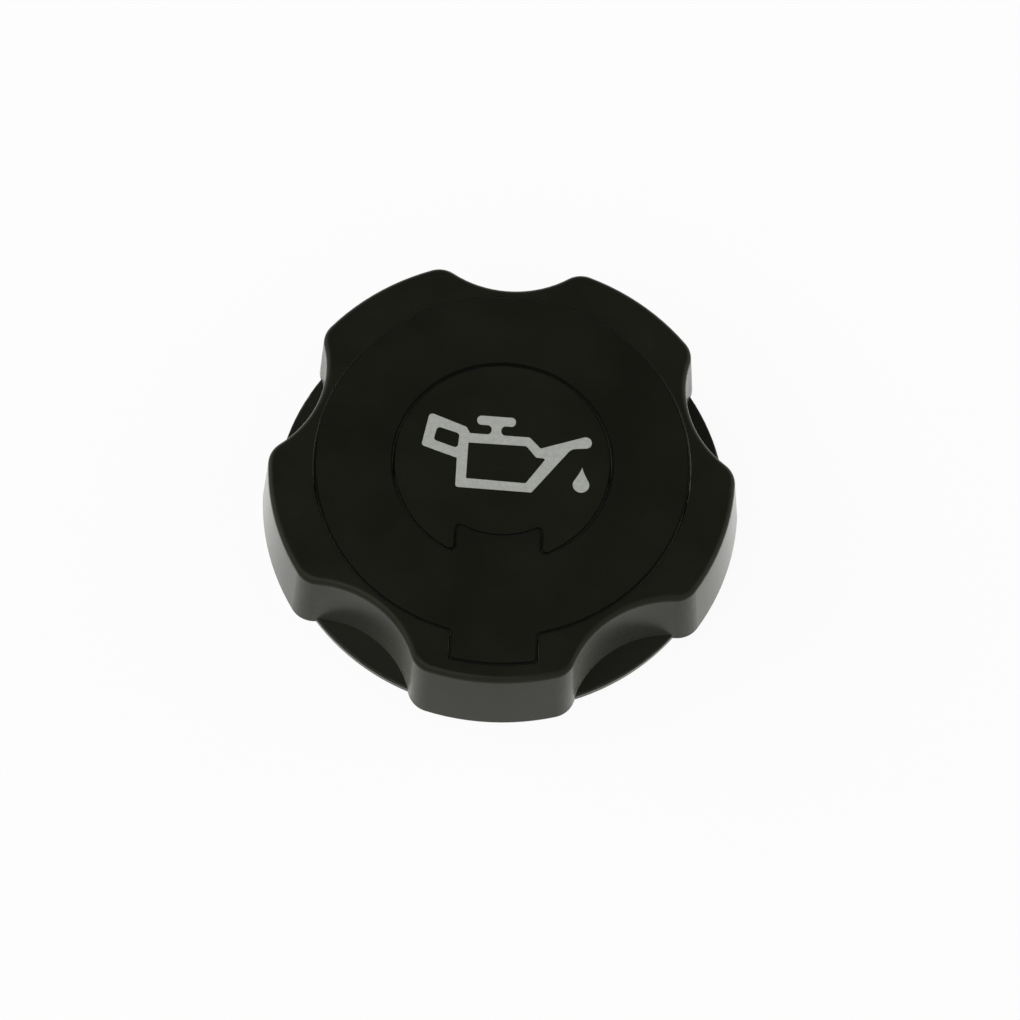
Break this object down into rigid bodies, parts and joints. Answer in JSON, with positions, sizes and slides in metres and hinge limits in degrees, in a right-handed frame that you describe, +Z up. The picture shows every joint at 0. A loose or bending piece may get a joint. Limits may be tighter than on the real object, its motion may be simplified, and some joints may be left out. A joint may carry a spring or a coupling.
{
  "type": "oil filler cap",
  "caption": "Black moulded engine oil filler cap: lobed grip knob with finger scallops, keyed cover ring and symbol disc on top, hollow bayonet plug with a rubber sealing ring below.",
  "frame": {"origin": "on the turning axis, in the plane of the knob's base where the cap seats on its filler neck", "axes": "+Z up along the turning axis out of the engine, -Y towards the key tab and the foot of the printed symbol"},
  "size_m": [0.065, 0.0634, 0.0271],
  "materials": {
    "grip_plastic": "fine moulded satin",
    "cover_plastic": "fine moulded satin",
    "disc_plastic": "fine moulded satin",
    "seal_rubber": "smooth matt"
  },
  "bodies": {
    "root": {"grip_knob": "grip_plastic", "cover_ring": "cover_plastic", "symbol_disc": "disc_plastic", "sealing_ring": "seal_rubber"}
  },
  "joints": []
}
